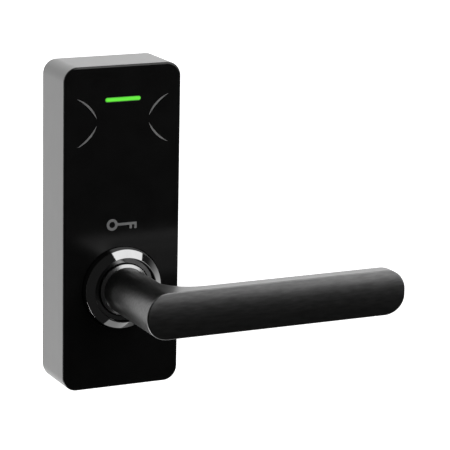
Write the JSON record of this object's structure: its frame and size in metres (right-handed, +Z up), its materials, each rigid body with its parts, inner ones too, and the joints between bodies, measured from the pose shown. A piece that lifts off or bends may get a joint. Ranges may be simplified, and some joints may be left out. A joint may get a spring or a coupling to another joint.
{
  "type": "electronic door lock trim",
  "caption": "Outside trim of an electronic door lock: slim case with contactless reader face, status light, polished rose, lever handle, square spindle and fixing posts.",
  "frame": {"origin": "on the lever's axis, at the door's surface, midway between the two lower fixing posts", "axes": "+Z up along the case, +Y out of the back of the trim into the door, +X to the right seen from the front, along the lever"},
  "size_m": [0.152, 0.1288, 0.156],
  "materials": {
    "case_grey": "satin grey die-cast zinc",
    "cover_black": "smooth satin black",
    "lever_black": "satin black powder coat",
    "dark_chrome": "polished black chrome",
    "bright_chrome": "polished chrome",
    "status_light": "lit translucent green",
    "mark_grey": "pale grey inlay",
    "zinc_steel": "zinc plated",
    "screw_steel": "bright",
    "spring_steel": "drawn wire",
    "brass_hub": "machined",
    "black_rubber": "matt",
    "bush_polymer": "natural acetal",
    "inner_plastic": "moulded black",
    "motor_can": "tinned",
    "board_green": "solder mask",
    "copper_trace": "etched copper",
    "led_lens": "clear lens",
    "cell_sleeve": "printed sleeve without lettering",
    "wire_red": "insulated wire"
  },
  "bodies": {
    "chassis": {"mounting_plate": "zinc_steel", "door_gasket": "black_rubber", "fixing_posts": "zinc_steel", "housing": "case_grey", "front_cover": "cover_black", "cover_seal": "black_rubber", "cover_screws": "screw_steel", "case_screw": "screw_steel", "light_pipe": "status_light", "reader_marks": "mark_grey", "key_mark": "mark_grey", "rose_ring": "dark_chrome", "rose_screws": "screw_steel", "bearing_bush": "bush_polymer", "thrust_washer": "bush_polymer", "return_spring": "spring_steel", "fork_guide_pin": "screw_steel", "clutch_motor": "motor_can", "motor_holder": "inner_plastic", "motor_leads": "wire_red", "reader_board": "board_green", "antenna_coil": "copper_trace", "status_leds": "led_lens", "processor": "inner_plastic", "radio_module": "motor_can", "buzzer": "inner_plastic", "board_connectors": "bush_polymer", "board_screws": "screw_steel", "battery_tray": "inner_plastic", "batteries": "cell_sleeve", "battery_contacts": "spring_steel", "contact_springs": "spring_steel", "battery_leads": "wire_red"},
    "handle": {"lever": "lever_black", "lever_collar": "bright_chrome", "drive_hub": "brass_hub", "hub_grub_screw": "screw_steel"},
    "spindle": {"driven_hub": "brass_hub", "square_spindle": "zinc_steel"},
    "clutch": {"clutch_ring": "spring_steel"},
    "fork": {"clutch_fork": "bush_polymer"},
    "motor_shaft": {"lead_screw": "brass_hub"}
  },
  "joints": [
    {"name": "lever_turn", "type": "hinge", "parent": "chassis", "child": "handle", "pos_m": [0, 0, 0], "axis": [0, 1, 0], "range_deg": [0, 45], "stiffness_Nm_per_rad": 1, "springref_deg": -28.65, "deforming": ["return_spring"]},
    {"name": "spindle_turn", "type": "hinge", "parent": "chassis", "child": "spindle", "pos_m": [0, 0, 0], "axis": [0, 1, 0], "range_deg": [0, 45]},
    {"name": "motor_shaft_turn", "type": "hinge", "parent": "chassis", "child": "motor_shaft", "pos_m": [0, -0.01, 0.024], "axis": [0, 1, 0], "range_deg": [0, 360]},
    {"name": "fork_slide", "type": "slide", "parent": "chassis", "child": "fork", "axis": [0, 1, 0], "range_m": [0, 0.002]},
    {"name": "clutch_slide", "type": "slide", "parent": "spindle", "child": "clutch", "axis": [0, 1, 0], "range_m": [0, 0.002]}
  ],
  "couplings": [
    {"joint": "spindle_turn", "follows": "lever_turn", "ratio": 1},
    {"joint": "motor_shaft_turn", "follows": "fork_slide", "rad_per_m": 3141.6},
    {"joint": "clutch_slide", "follows": "fork_slide", "ratio": 1}
  ]
}
